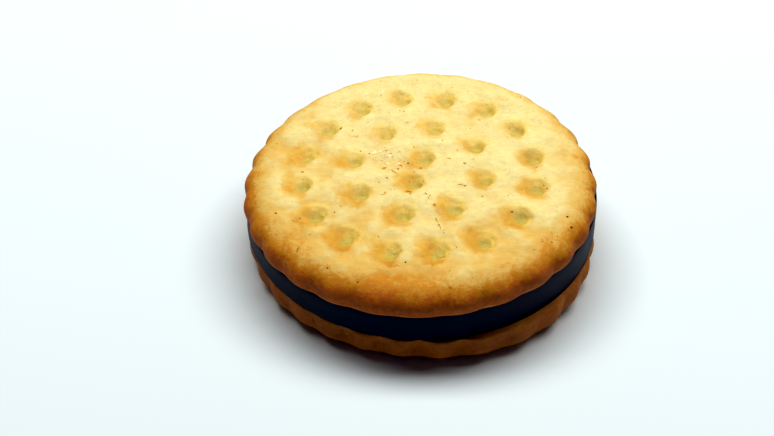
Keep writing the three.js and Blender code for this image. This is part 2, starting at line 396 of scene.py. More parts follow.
    # Crumb: a fine relief that only goes inward, so that the outline and the rest stay true.
    here = node(tree, "GeometryNodeInputPosition").outputs[0]
    coarse = noise(tree, here, CRUMB_SIZE, detail=3.0, roughness=0.6, seed=given["Seed"])
    pits = ramp(tree, noise(tree, here, PIT_SIZE, seed=given["Seed"]), 0.66, 0.78)
    relief = calc(tree, "ADD", coarse, calc(tree, "MULTIPLY", pits, PIT_SHARE))
    sunk = calc(tree, "MULTIPLY", calc(tree, "MULTIPLY", relief, given["Crumb Relief"]), -1.0)
    skin = ramp(tree, section, BASE_MARK + 0.2, BASE_MARK)
    normal = node(tree, "GeometryNodeInputNormal").outputs[0]
    inward = scaled(tree, normal, calc(tree, "MULTIPLY", sunk, skin))
    shape = node(tree, "GeometryNodeSetPosition", Geometry=shape, Offset=inward).outputs[0]
    shape = node(tree, "GeometryNodeRealizeInstances", Geometry=shape).outputs[0]
    shape = node(tree, "GeometryNodeSetMaterial", Geometry=shape,
                 Material=given["Material"]).outputs[0]
    tree.links.new(shape, result)
    return tree


def run_tree(name, blank, tree, values):
    """Runs a tree on a blank and keeps the result as a plain mesh piece."""
    modifier = blank.modifiers.new(tree.name, "NODES")
    modifier.node_group = tree
    for item in tree.interface.items_tree:
        if item.in_out == "INPUT" and item.name in values:
            modifier[item.identifier] = values[item.name]
    graph = bpy.context.evaluated_depsgraph_get()
    mesh = bpy.data.meshes.new_from_object(blank.evaluated_get(graph))
    bpy.data.objects.remove(blank)
    mesh.name = name
    mesh.shade_smooth()
    piece = bpy.data.objects.new(name, mesh)
    bpy.context.scene.collection.objects.link(piece)
    return piece


def mesh_box(mesh):
    """Lowest and highest corner of a mesh."""
    corners = list(zip(*(vertex.co for vertex in mesh.vertices)))
    return Vector(map(min, corners)), Vector(map(max, corners))


def put_on_frame(piece, turned, node_name):
    """Turns a piece, then moves it so that its box stands where the frame's node stands."""
    piece.data.transform(turned)
    low, high = mesh_box(piece.data)
    node_low, node_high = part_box(node_name)
    middle = (node_low + node_high) / 2 - (low + high) / 2
    piece.data.transform(Matrix.Translation((middle.x, middle.y, node_low.z - low.z)))


cut_and_dock = cut_and_dock_tree()


# ---- Skin of the biscuits --------------------------------------------------
# Baked dough is palest on the raised face, golden where the edge begins and brown where it turns
# over. Painted shade makes the dips between its swells more golden, and painted light and shade
# colour the holes and the crests of the scallops. One shader group gives the colour, gloss and fine
# relief of that skin, and each biscuit's own material sets how far it is baked.

# Sizes of the spots that baking leaves, from broad areas down to grains of flour.
BROAD_SIZE = 10 * MM
PATCH_SIZE = 3.4 * MM
WISP_SIZE = 2.4 * MM
BLOTCH_SIZE = 2.2 * MM
MOTTLE_SIZE = 1.1 * MM
STREAK_SIZE = 0.5 * MM
STREAK_STRETCH = (0.4, 1.0, 1.0)
GRAIN_SIZE = 0.35 * MM

# Specks of scorched flour: how far apart their places lie, the radius of the largest as a
# share of that, and the share of the places that stay bare.
SPECK_SPACING = 2.6 * MM
LARGEST_SPECK = 0.085
SPECKLESS_SHARE = 0.6

# Marks of the section between which each stretch of the edge begins or ends. Browning goes on
# by one degree of baking in each BROWNING_WIDTH, and no further than MOST_BROWNED.
BROWNING_START = 0.87
BROWNING_WIDTH = 0.92
MOST_BROWNED = 1.1
RIM_START = (0.9, 1.3)
LOW_RIM_START = (1.35, 1.85)
LOW_RIM_END = (2.7, 2.2)
LIP_START = (2.1, 2.8)
LIP_LINE_START = (2.2, 2.45)

# The oven was hotter on the near side and a little hotter on the left: how the baking leans
# over the reach of the face, and where and by how much the face is browned beyond that.
FACE_REACH = 27 * MM
LEAN_TO_LEFT, LEAN_TO_NEAR = 0.3, 1.2
NEAR_HEAT = (-12 * MM, -25 * MM, 0.0, 0.09)
LEFT_HEAT = (-14 * MM, -28 * MM, 0.0, 0.04)
# Painted shade: by this share of a swell's height the dips between the swells are baked more golden
# and the tops paler.
PAINTED_SWELL_SHADE = 0.3
RIM_PALING = 0.13
MOST_BAKED_FACE, MOST_BAKED_RIM = 0.3, 1.9

# Holes: how far from its middle each is browned on its shaded side, partly by toasting and partly by
# painted shade, in hole radii, by how much, and how much less the far holes are.
TOAST_AND_SHADE_REACH = (1.65, 0.8)
WISP_REACH = (2.3, 1.1)
TOAST_AND_SHADE_BY = 0.3
WISPS_BY = 0.24
NEAR_HOLES_SPAN = (14 * MM, -20 * MM, 0.5, 1.0)

# The colours of baking dough, with the degrees of baking between which each takes over.
BAKING_COLOURS = (
    ("Golden", -0.05, 0.34),
    ("Amber", 0.3, 0.7),
    ("Brown", 0.66, 1.05),
    ("Scorched", 1.08, 1.5),
)

# How much a lighter spot adds to red, green and blue: dough loses its blue first.
TONE_SHARES = (0.6, 1.0, 1.7)


def paint(code):
    """A colour written as #RRGGBB, as linear light."""
    parts = (int(code[k:k + 2], 16) / 255 for k in (1, 3, 5))
    return (*(p / 12.92 if p <= 0.04045 else ((p + 0.055) / 1.055) ** 2.4 for p in parts), 1.0)


def colour_mix(tree, share, first, second):
    """Mixes two colours by a share."""
    made = node(tree, "ShaderNodeMix", {"data_type": "RGBA"})
    for index, value in ((0, share), (6, first), (7, second)):
        wire(tree, made.inputs[index], value)
    return made.outputs[2]


def new_material(name):
    """A material with its tree and its Principled BSDF."""
    material = bpy.data.materials.new(name)
    material.use_nodes = True
    return material, material.node_tree, material.node_tree.nodes["Principled BSDF"]


def baked_skin_group():
    """The group that gives baked dough its colour, roughness and fine height."""
    tree = bpy.data.node_groups.new("baked skin", "ShaderNodeTree")
    sockets = {
        "Pale": ("Color", paint("#EADA9C")),
        "Golden": ("Color", paint("#E0BC68")),
        "Amber": ("Color", paint("#CC8E1C")),
        "Brown": ("Color", paint("#BC681A")),
        "Scorched": ("Color", paint("#944C12")),
        "Lip": ("Color", paint("#B8681C")),
        "Crease": ("Color", paint("#E0AC5C")),
        "Toasted Wall": ("Color", paint("#D8AA44")),
        "Pale Wall": ("Color", paint("#F8DA78")),
        "Hole Floor": ("Color", paint("#C2AE5A")),
        "Speck": ("Color", paint("#5A3210")),
        "Baked": ("Float", 0.13),
        "Lean": ("Float", 0.16),
        "Mottling": ("Float", 0.5),
        "Blotches": ("Float", 0.55),
        "Pale Lobes": ("Float", 0.1),
        "Seed": ("Float", 0.0),
    }
    for label, (kind, value) in sockets.items():
        socket = tree.interface.new_socket(label, in_out="INPUT", socket_type="NodeSocket" + kind)
        socket.default_value = value
    for label, kind in (("Color", "Color"), ("Roughness", "Float"), ("Height", "Float")):
        tree.interface.new_socket(label, in_out="OUTPUT", socket_type="NodeSocket" + kind)
    given = node(tree, "NodeGroupInput").outputs
    result = node(tree, "NodeGroupOutput").inputs

    place = node(tree, "ShaderNodeTexCoord").outputs["Object"]
    section, dock, away, crease, lift = (
        node(tree, "ShaderNodeAttribute", {"attribute_name": label}).outputs["Fac"]
        for label in ("section", "dock", "dock_away", "crease", "lift")
    )
    side = node(tree, "ShaderNodeAttribute", {"attribute_name": "dock_side"}).outputs["Vector"]
    side_x, side_y, _ = node(tree, "ShaderNodeSeparateXYZ", Vector=side).outputs
    x, y, _ = node(tree, "ShaderNodeSeparateXYZ", Vector=place).outputs

    def cloud(size, detail=2.0, roughness=0.5, spot=place):
        """Random numbers round 0, with features of this size."""
        value = noise(tree, spot, size, detail, roughness, seed=given["Seed"])
        return calc(tree, "SUBTRACT", value, 0.5)

    broad, patches, mottle = cloud(BROAD_SIZE), cloud(PATCH_SIZE, 3.0), cloud(MOTTLE_SIZE)
    grain = cloud(GRAIN_SIZE, 3.0, 0.7)
    drawn_out = vector_calc(tree, "MULTIPLY", place, STREAK_STRETCH).outputs[0]
    streaks = cloud(STREAK_SIZE, 3.0, 0.6, drawn_out)

    # How far each place is baked: from 0 on the face to over 1 where the edge turns under.
    baked = calc(tree, "DIVIDE", calc(tree, "SUBTRACT", section, BROWNING_START), BROWNING_WIDTH)
    baked = calc(tree, "MINIMUM", calc(tree, "MAXIMUM", baked, 0.0), MOST_BROWNED)
    baked = calc(tree, "ADD", baked, given["Baked"])
    # Painted shade: the dips between the swells are more golden and the tops paler.
    baked = calc(tree, "MULTIPLY_ADD", lift, -PAINTED_SWELL_SHADE, baked)
    lean = calc(tree, "MULTIPLY", y, -LEAN_TO_NEAR / FACE_REACH)
    lean = calc(tree, "MULTIPLY_ADD", x, -LEAN_TO_LEFT / FACE_REACH, lean)
    baked = calc(tree, "MULTIPLY_ADD", calc(tree, "SUBTRACT", lean, 1.0), given["Lean"], baked)
    rim = ramp(tree, section, *RIM_START)
    off_rim = calc(tree, "SUBTRACT", 1.0, rim)
    baked = calc(tree, "MULTIPLY_ADD", rim, -RIM_PALING, baked)
    hot = calc(tree, "ADD", ramp(tree, y, *NEAR_HEAT), ramp(tree, x, *LEFT_HEAT))
    baked = calc(tree, "MULTIPLY_ADD", hot, off_rim, baked)
    for spots, face_share, rim_share in (
        (broad, 0.3, 0.5),
        (patches, 0.5, 0.6),
        (mottle, 0.3, 0.7),
        (grain, 0.4, 0.9),
    ):
        strength = calc(tree, "MULTIPLY_ADD", rim, rim_share - face_share, face_share)
        baked = calc(tree, "MULTIPLY_ADD", spots, strength, baked)
    most = calc(tree, "MULTIPLY_ADD", rim, MOST_BAKED_RIM - MOST_BAKED_FACE, MOST_BAKED_FACE)
    baked = calc(tree, "MINIMUM", baked, most)

    # Round the holes the dough is browner on the left and near side and in the near holes: partly
    # toasting, partly painted shade on the hole's shaded wall.
    toward = calc(tree, "MULTIPLY_ADD", side_y, 0.4, calc(tree, "MULTIPLY_ADD", broad, 1.4, side_x))
    toward = calc(tree, "MULTIPLY_ADD", patches, 0.9, toward)
    near_holes = ramp(tree, y, *NEAR_HOLES_SPAN)
    ring = calc(tree, "MULTIPLY", ramp(tree, away, *TOAST_AND_SHADE_REACH), ramp(tree, dock, 1.0, 0.6))
    toast_and_shade = calc(tree, "MULTIPLY", ring, ramp(tree, toward, 0.5, -0.6, 0.05, 1.0))
    toast_and_shade = calc(tree, "MULTIPLY", toast_and_shade, near_holes)
    baked = calc(tree, "MULTIPLY_ADD", toast_and_shade, TOAST_AND_SHADE_BY, baked)
    beside = calc(tree, "MULTIPLY", ramp(tree, away, *WISP_REACH), ramp(tree, toward, 0.7, -0.4))
    wisps = ramp(tree, cloud(WISP_SIZE, 3.0, 0.6), -0.08, 0.12, 0.0, WISPS_BY)
    wisps = calc(tree, "MULTIPLY", beside, wisps)
    baked = calc(tree, "MULTIPLY_ADD", wisps, off_rim, baked)

    skin = given["Pale"]
    for colour, begins, full in BAKING_COLOURS:
        skin = colour_mix(tree, ramp(tree, baked, begins, full), skin, given[colour])

    # Under the edge lies a browner lip, with uneven blotches above it where the edge caught the heat
    # and a pale line along parts of it. The crests of the scallops get a painted highlight.
    lip = calc(tree, "MULTIPLY", ramp(tree, section, *LIP_START),
               ramp(tree, mottle, -0.25, 0.1, 0.3, 0.9))
    skin = colour_mix(tree, lip, skin, given["Lip"])
    blotch = ramp(tree, cloud(BLOTCH_SIZE, 4.0, 0.65), -0.02, 0.16)
    for stretch in (LOW_RIM_START, LOW_RIM_END):
        blotch = calc(tree, "MULTIPLY", blotch, ramp(tree, section, *stretch))
    blotch = calc(tree, "MULTIPLY", blotch, given["Blotches"])
    skin = colour_mix(tree, blotch, skin, given["Scorched"])
    pale = calc(tree, "MULTIPLY", ramp(tree, section, *LIP_LINE_START),
                ramp(tree, patches, 0.0, 0.2, 0.0, 0.35))
    skin = colour_mix(tree, pale, skin, given["Crease"])
    # Painted highlight: the crests of the scallops on the rim are paler, in uneven patches.
    line = calc(tree, "MULTIPLY", ramp(tree, crease, 0.4, 0.0), ramp(tree, patches, -0.1, 0.15))
    line = calc(tree, "MULTIPLY", line, calc(tree, "MULTIPLY", rim, ramp(tree, mottle, -0.2, 0.15)))
    line = calc(tree, "MULTIPLY", line, given["Pale Lobes"])
    skin = colour_mix(tree, line, skin, given["Crease"])

    # In the holes light and shade are painted: the back and right walls paler, as lit, and the floor
    # darker and greener, as shade in the pit.
    # Painted light: round the lip, the back wall of each hole, which lies in shade, is painted
    # paler.
    shade = calc(tree, "MULTIPLY", ramp(tree, away, 1.55, 0.95), ramp(tree, side_y, -0.4, 0.5))
    skin = colour_mix(tree, calc(tree, "MULTIPLY", shade, 0.45), skin, given["Pale Wall"])
    # Painted light: the right wall inside each hole is painted paler, as lit.
    right = calc(tree, "MULTIPLY_ADD", side_y, 0.3, side_x)
    wall = calc(tree, "MULTIPLY", ramp(tree, dock, 0.03, 0.45), ramp(tree, right, -0.2, 0.7))
    skin = colour_mix(tree, wall, skin, given["Pale Wall"])
    # Toasting and painted shade on the shaded wall of each hole.
    skin = colour_mix(tree, calc(tree, "MULTIPLY", toast_and_shade, 0.75), skin, given["Toasted Wall"])
    # Painted shade: the floor of each hole, most in the near holes, is darker and greener.
    floor = calc(tree, "MULTIPLY_ADD", side_y, -0.3, dock)
    floor = calc(tree, "MULTIPLY", ramp(tree, floor, 0.3, 0.95), ramp(tree, dock, 0.0, 0.35))
    floor = calc(tree, "MULTIPLY", floor, calc(tree, "MULTIPLY_ADD", near_holes, 0.4, 0.6))
    skin = colour_mix(tree, floor, skin, given["Hole Floor"])

    # Lighter and darker spots of every size.
    tone = calc(tree, "MULTIPLY", patches, 0.6)
    for spots, share in ((mottle, 0.5), (streaks, 0.45), (grain, 0.9)):
        tone = calc(tree, "MULTIPLY_ADD", spots, share, tone)
    tone = calc(tree, "MULTIPLY", tone, given["Mottling"])
    red, green, blue = (calc(tree, "MULTIPLY_ADD", tone, share, 1.0) for share in TONE_SHARES)
    warmth = node(tree, "ShaderNodeCombineXYZ", X=red, Y=green, Z=blue).outputs[0]
    skin = vector_calc(tree, "MULTIPLY", skin, warmth).outputs[0]

    # Specks of scorched flour, few and small, some fainter than others.
    cells = node(tree, "ShaderNodeTexVoronoi", {"feature": "F1"}, Vector=place,
                 Scale=1 / SPECK_SPACING)
    lot = node(tree, "ShaderNodeSeparateColor", Color=cells.outputs["Color"]).outputs
    size = ramp(tree, lot[0], 0.55, 1.0, 0.0, LARGEST_SPECK)
    speck = ramp(tree, calc(tree, "SUBTRACT", cells.outputs["Distance"], size), 0.03, 0.0)
    speck = calc(tree, "MULTIPLY", speck, calc(tree, "GREATER_THAN", lot[0], SPECKLESS_SHARE))
    speck = calc(tree, "MULTIPLY", speck, ramp(tree, lot[1], 0.2, 1.0))
    skin = colour_mix(tree, speck, skin, given["Speck"])
    tree.links.new(skin, result["Color"])

    tree.links.new(calc(tree, "MULTIPLY_ADD", mottle, 0.25, 0.66), result["Roughness"])
    height = calc(tree, "MULTIPLY_ADD", mottle, 0.8, calc(tree, "MULTIPLY_ADD", streaks, 0.6, grain))
    tree.links.new(calc(tree, "MULTIPLY_ADD", speck, -0.4, height), result["Height"])
    return tree


baked_skin = baked_skin_group()


def baked_dough(name, **values):
    """A biscuit's own material: the baked skin with this biscuit's values."""
    material, tree, surface = new_material(name)
    skin = node(tree, "ShaderNodeGroup", {"node_tree": baked_skin}, **values)
    bump = node(tree, "ShaderNodeBump", Strength=0.5, Distance=0.2 * MM,
                Height=skin.outputs["Height"])
    tree.links.new(skin.outputs["Color"], surface.inputs["Base Color"])
    tree.links.new(skin.outputs["Roughness"], surface.inputs["Roughness"])
    tree.links.new(bump.outputs[0], surface.inputs["Normal"])
    surface.inputs["Specular IOR Level"].default_value = 0.3
    return material


# ---- Upper biscuit ---------------------------------------------------------
# The face that shows: pale gold, docked face up, with a browned rounded edge. It lies on
# the cream, tipped up a little towards +X where the cream is thicker.

TOP_TILT = math.radians(2.7)

upper_blank = dough_blank(
    "upper_blank",
    radius=32.73 * MM,
    widest_height=1.6 * MM,
    base_inset=0.8 * MM,
    shoulder_width=5.83 * MM,
    shoulder_height=5.2 * MM,
    fullness=2,
    crown=0.6 * MM,
)
upper = run_tree("upper_biscuit", upper_blank, cut_and_dock, {
    "Lobes": 28.0,
    "Lobe Depth": 0.7 * MM,
    "Lobe Turn": math.radians(-2.4),
    "Lobe Drift": math.radians(2.0),
    "Drift Waves": 2.0,
    "Drift Crest": math.radians(125),
    "Deepest Lobes": 0.0,
    "Oval": 0.22 * MM,
    "Oval Crest": math.radians(-50),
    "Three-Sided": 0.18 * MM,
    "Three-Sided Crest": math.radians(-38),
    "Seed": 3,
    "Material": baked_dough("pale baked dough", Seed=3.0),
})
put_on_frame(upper, Matrix.Rotation(-TOP_TILT, 4, "Y"), "top_biscuit")
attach(upper, "root")
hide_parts("top_biscuit")


# ---- Flecks and crumbs -----------------------------------------------------
# Small things baked into or lying on the upper face: toasted flecks, nearly black dots of
# scorched flour, and a torn patch of pale crumb. Each is a flat, uneven little lump. The
# marks that stand out are placed one by one and the fine ones are strewn by a tree.

# Place (x, y), length, width and turn of each mark, in millimetres and degrees.
TOASTED_MARKS = (
    (-2.5, -6.5, 1.5, 0.9, 20), (-1.9, -6.9, 0.9, 0.6, 80), (0.7, -7.5, 1.3, 0.4, 110),
    (1.3, -8.4, 0.8, 0.3, 60), (2.0, -10.5, 0.8, 0.6, 0), (-6.9, -6.8, 1.1, 0.6, 30),
    (6.4, -5.0, 1.6, 0.4, 170), (7.6, -5.3, 0.9, 0.4, 160), (8.0, 0.5, 0.6, 0.4, 0),
    (6.8, 4.5, 0.6, 0.4, 40), (5.0, 2.2, 0.8, 0.4, 150), (-12.2, 10.4, 0.8, 0.5, 0),
    (-6.5, 0.5, 1.4, 0.6, 20), (-5.2, -0.5, 1.5, 0.5, 160), (-4.2, 0.3, 0.8, 0.5, 50),
    (2.5, -14.2, 1.6, 0.35, 105), (3.0, -15.8, 1.5, 0.25, 108), (3.6, -17.0, 1.0, 0.2, 100),
    (-2.4, 13.5, 0.6, 0.4, 0), (-5.9, 16.8, 0.6, 0.4, 30), (9.5, 1.8, 0.7, 0.3, 20),
    (-9.8, 14.5, 0.7, 0.4, 10), (-21.8, -19.8, 1.6, 0.5, 60), (-4.5, -24.5, 0.8, 0.5, 0),
    (1.6, -24.8, 0.6, 0.4, 0), (3.2, -22.2, 1.1, 0.8, 0), (20.5, -19.5, 0.7, 0.4, 70),
)
SCORCHED_MARKS = (
    (-15.1, 13.0, 0.6, 0.3, 20), (-12.9, 12.2, 0.25, 0.25, 0), (-26.1, -10.3, 0.35, 0.3, 0),
    (-15.6, -10.7, 0.3, 0.25, 0), (25.4, -13.6, 0.4, 0.35, 0), (15.8, -12.1, 0.4, 0.25, 30),
    (-16.4, -24.3, 0.3, 0.25, 0), (-11.2, -27.6, 0.35, 0.25, 0), (-21.7, -11.8, 0.25, 0.2, 0),
    (10.8, -8.0, 0.25, 0.2, 0), (18.9, -21.6, 0.3, 0.2, 0), (-7.4, 22.9, 0.3, 0.2, 0),
)
PALE_FLAKES = (
    (-8.5, 5.2, 2.0, 1.3, 10), (-7.2, 4.3, 0.9, 0.6, 60), (-5.6, 3.6, 1.1, 0.7, 140),
    (-4.1, 1.9, 0.9, 0.6, 20), (-6.3, 1.9, 0.7, 0.5, 0),
)
FLECK_THICKNESS_SHARE = 0.3
LUMP_NOISE_SIZE = 0.45 * MM
DROP_HEIGHT = 60 * MM
DROP_REACH = 80 * MM

# Least and most length, width and thickness of a strewn lump, as shares of its size.
FLATTEST_LUMP = (0.8, 0.5, 0.3)
FULLEST_LUMP = (1.6, 0.9, 0.6)
CRUMB_PATCH = (-5.2 * MM, 2.2 * MM)
CRUMB_PATCH_REACH = 3.6 * MM


def marks_mesh(name, marks):
    """Loose points that carry the size and turn of the marks."""
    mesh = bpy.data.meshes.new(name)
    mesh.from_pydata([(x * MM, y * MM, 0) for x, y, _, _, _ in marks], [], [])
    sizes, turns = [], []
    for _, _, length, width, turn in marks:
        sizes += [length * MM, width * MM, FLECK_THICKNESS_SHARE * width * MM]
        turns.append(math.radians(turn))
    mesh.attributes.new("size", "FLOAT_VECTOR", "POINT").data.foreach_set("vector", sizes)
    mesh.attributes.new("turn", "FLOAT", "POINT").data.foreach_set("value", turns)
    made = bpy.data.objects.new(name, mesh)
    bpy.context.scene.collection.objects.link(made)
    return made


def lay_lumps(tree, given, points, normal, size, turn):
    """A flat, uneven lump on each point, half sunk and level with the skin there."""
    upright = node(tree, "FunctionNodeAlignRotationToVector", {"axis": "Z"},
                   Vector=normal).outputs[0]
    twist = node(tree, "FunctionNodeAxisAngleToRotation", Axis=(0.0, 0.0, 1.0),
                 Angle=turn).outputs[0]
    facing = node(tree, "FunctionNodeRotateRotation", {"rotation_space": "LOCAL"},
                  Rotation=upright, Rotate_By=twist).outputs[0]
    ball = node(tree, "GeometryNodeMeshIcoSphere", Radius=0.5, Subdivisions=3).outputs[0]
    lumps = node(tree, "GeometryNodeInstanceOnPoints", Points=points, Instance=ball,
                 Rotation=facing, Scale=size).outputs[0]
    lumps = node(tree, "GeometryNodeRealizeInstances", Geometry=lumps).outputs[0]
    here = node(tree, "GeometryNodeInputPosition").outputs[0]
    noisy = node(tree, "ShaderNodeTexNoise", Vector=here, Scale=1 / LUMP_NOISE_SIZE).outputs["Color"]
    push = vector_calc(tree, "SUBTRACT", noisy, (0.5, 0.5, 0.5)).outputs[0]
    push = vector_calc(tree, "MULTIPLY", push, given["Unevenness"]).outputs[0]
    lumps = node(tree, "GeometryNodeSetPosition", Geometry=lumps, Offset=push).outputs[0]
    return node(tree, "GeometryNodeSetMaterial", Geometry=lumps,
                Material=given["Material"]).outputs[0]


def placed_marks_tree():
    """Drops each marked point on the ground piece and lays a lump there."""
    tree, given, result = shape_tree("placed marks", {
        "Ground": ("Object", None),
        "Grains": ("Int", 1),
        "Smallest Share": ("Float", 1.0),
        "Largest Share": ("Float", 1.0),
        "Unevenness": ("Vector", (0.3 * MM, 0.3 * MM, 0.1 * MM)),
        "Seed": ("Int", 0),
        "Material": ("Material", None),
    })
    ground = node(tree, "GeometryNodeObjectInfo", {"transform_space": "RELATIVE"},
                  Object=given["Ground"]).outputs["Geometry"]
    points = node(tree, "GeometryNodeMeshToPoints", Mesh=given["Geometry"]).outputs[0]
    points = node(tree, "GeometryNodeDuplicateElements", {"domain": "POINT"}, Geometry=points,
                  Amount=given["Grains"]).outputs[0]
    size = stored(tree, "size", "FLOAT_VECTOR")
    turn = stored(tree, "turn")
    scatter = node(tree, "FunctionNodeRandomValue", {"data_type": "FLOAT_VECTOR"},
                   Seed=given["Seed"])
    scatter.inputs[0].default_value = (-0.5, -0.5, 0.0)
    scatter.inputs[1].default_value = (0.5, 0.5, 0.0)
    spread = vector_calc(tree, "MULTIPLY", scatter.outputs[0], size).outputs[0]
    spread = node(tree, "ShaderNodeVectorRotate", Vector=spread, Angle=turn).outputs[0]
    several = calc(tree, "GREATER_THAN", given["Grains"], 1.5)
    spread = scaled(tree, spread, several)
    points = node(tree, "GeometryNodeSetPosition", Geometry=points, Offset=spread).outputs[0]
    place = node(tree, "GeometryNodeInputPosition").outputs[0]
    start = vector_calc(tree, "ADD", place, (0.0, 0.0, DROP_HEIGHT)).outputs[0]
    ray = node(tree, "GeometryNodeRaycast", Target_Geometry=ground, Source_Position=start,
               Ray_Direction=(0.0, 0.0, -1.0), Ray_Length=DROP_REACH)
    dropped = node(tree, "GeometryNodeCaptureAttribute", Geometry=points)
    dropped.capture_items.new("VECTOR", "Hit")
    dropped.capture_items.new("VECTOR", "Facing")
    wire(tree, dropped.inputs["Hit"], ray.outputs["Hit Position"])
    wire(tree, dropped.inputs["Facing"], ray.outputs["Hit Normal"])
    points = node(tree, "GeometryNodeSetPosition", Geometry=dropped.outputs["Geometry"],
                  Position=dropped.outputs["Hit"]).outputs[0]
    share = node(tree, "FunctionNodeRandomValue", {"data_type": "FLOAT"}, Seed=given["Seed"])
    wire(tree, share.inputs[2], given["Smallest Share"])
    wire(tree, share.inputs[3], given["Largest Share"])
    size = scaled(tree, size, share.outputs[1])
    lumps = lay_lumps(tree, given, points, dropped.outputs["Facing"], size, turn)
    tree.links.new(lumps, result)
    return tree


def strewn_marks_tree():
    """Strews small lumps over the ground piece, thickly in one patch and thinly around it."""
    tree, given, result = shape_tree("strewn marks", {
        "Ground": ("Object", None),
        "Patch Middle": ("Vector", (0.0, 0.0, 0.0)),
        "Patch Reach": ("Float", CRUMB_PATCH_REACH),
        "Patch Density": ("Float", 0.0),
        "Face Density": ("Float", 0.0),
        "Smallest": ("Float", 0.15 * MM),
        "Largest": ("Float", 0.4 * MM),
        "Unevenness": ("Vector", (0.1 * MM, 0.1 * MM, 0.05 * MM)),
        "Seed": ("Int", 0),
        "Material": ("Material", None),
    })
    ground = node(tree, "GeometryNodeObjectInfo", {"transform_space": "RELATIVE"},
                  Object=given["Ground"]).outputs["Geometry"]
    place = node(tree, "GeometryNodeInputPosition").outputs[0]
    flat = vector_calc(tree, "MULTIPLY", place, (1.0, 1.0, 0.0)).outputs[0]
    apart = vector_calc(tree, "DISTANCE", flat, given["Patch Middle"]).outputs["Value"]
    ragged = calc(tree, "MULTIPLY_ADD", noise(tree, flat, 2.5 * MM), 4 * MM, -2 * MM)
    apart = calc(tree, "ADD", apart, ragged)
    thick = calc(tree, "MULTIPLY", given["Patch Reach"], 0.4)
    patch = ramp(tree, apart, given["Patch Reach"], thick)
    density = calc(tree, "MULTIPLY_ADD", patch, given["Patch Density"], given["Face Density"])
    density = calc(tree, "MULTIPLY", density, ramp(tree, stored(tree, "section"), 1.7, 1.4))
    strewn = node(tree, "GeometryNodeDistributePointsOnFaces", Mesh=ground, Density=density,
                  Seed=given["Seed"])
    size = node(tree, "FunctionNodeRandomValue", {"data_type": "FLOAT"}, Seed=given["Seed"])
    wire(tree, size.inputs[2], given["Smallest"])
    wire(tree, size.inputs[3], given["Largest"])
    stretch = node(tree, "FunctionNodeRandomValue", {"data_type": "FLOAT_VECTOR"},
                   Seed=given["Seed"])
    stretch.inputs[0].default_value = FLATTEST_LUMP
    stretch.inputs[1].default_value = FULLEST_LUMP
    scale = scaled(tree, stretch.outputs[0], size.outputs[1])
    turn = node(tree, "FunctionNodeRandomValue", {"data_type": "FLOAT"}, Seed=given["Seed"])
    turn.inputs[2].default_value = 0.0
    turn.inputs[3].default_value = math.pi
    lumps = lay_lumps(tree, given, strewn.outputs["Points"], strewn.outputs["Normal"], scale,
                      turn.outputs[1])
    tree.links.new(lumps, result)
    return tree


def fleck_material(name, darker, lighter):
    """Toasted or torn crumb: two tones in small clouds, and a grainy surface."""
    material, tree, surface = new_material(name)
    place = node(tree, "ShaderNodeTexCoord").outputs["Object"]
    cloud = noise(tree, place, 0.5 * MM, 3.0, 0.6)
    colour = colour_mix(tree, ramp(tree, cloud, 0.35, 0.65), paint(darker), paint(lighter))
    bump = node(tree, "ShaderNodeBump", Strength=0.6, Distance=0.05 * MM,
                Height=noise(tree, place, 0.2 * MM, 2.0))
    tree.links.new(colour, surface.inputs["Base Color"])
    tree.links.new(calc(tree, "MULTIPLY_ADD", cloud, 0.2, 0.65), surface.inputs["Roughness"])
    tree.links.new(bump.outputs[0], surface.inputs["Normal"])
    surface.inputs["Specular IOR Level"].default_value = 0.08
    return material


def add_flecks(name, start, tree, values):
    """One piece of like flecks, laid on the upper biscuit."""
    piece = run_tree(name, start, tree, {"Ground": upper, **values})
    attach(piece, "root")


placed_marks = placed_marks_tree()
strewn_marks = strewn_marks_tree()
add_flecks("toasted_flecks", marks_mesh("toasted_marks", TOASTED_MARKS), placed_marks, {
    "Grains": 5,
    "Smallest Share": 0.2,
    "Largest Share": 0.55,
    "Seed": 2,
    "Material": fleck_material("toasted fleck", "#AE741C", "#DEAE48"),
})
add_flecks("scorched_flecks", marks_mesh("scorched_marks", SCORCHED_MARKS), placed_marks, {
    "Unevenness": (0.2 * MM, 0.2 * MM, 0.1 * MM),
    "Material": fleck_material("scorched fleck", "#3A200C", "#6E4216"),
})
add_flecks("torn_flakes", marks_mesh("torn_marks", PALE_FLAKES), placed_marks, {
    "Grains": 3,
    "Smallest Share": 0.35,
    "Largest Share": 0.8,
    "Seed": 7,
    "Material": fleck_material("torn pale crumb", "#EED998", "#FAEEC0"),
})
add_flecks("fine_crumbs", marks_mesh("crumb_start", ()), strewn_marks, {
    "Patch Middle": (*CRUMB_PATCH, 0.0),
    "Patch Density": 4.0e6,
    "Seed": 4,
    "Material": fleck_material("fine pale crumb", "#E0B870", "#FBEFC4"),
})
add_flecks("fine_flecks", marks_mesh("fleck_start", ()), strewn_marks, {
    "Patch Middle": (*CRUMB_PATCH, 0.0),
    "Patch Reach": 9 * MM,
    "Patch Density": 2.0e5,
    "Face Density": 1.5e4,
    "Seed": 9,
    "Material": fleck_material("fine toasted fleck", "#A87420", "#D0A040"),
})


# ---- Lower biscuit ---------------------------------------------------------
# The same dough turned over: its flat base carries the cream, its docked face is down and
# worn level where it lies. It was baked a little longer, so its edge is browner.

REST_HEIGHT = 5.75 * MM

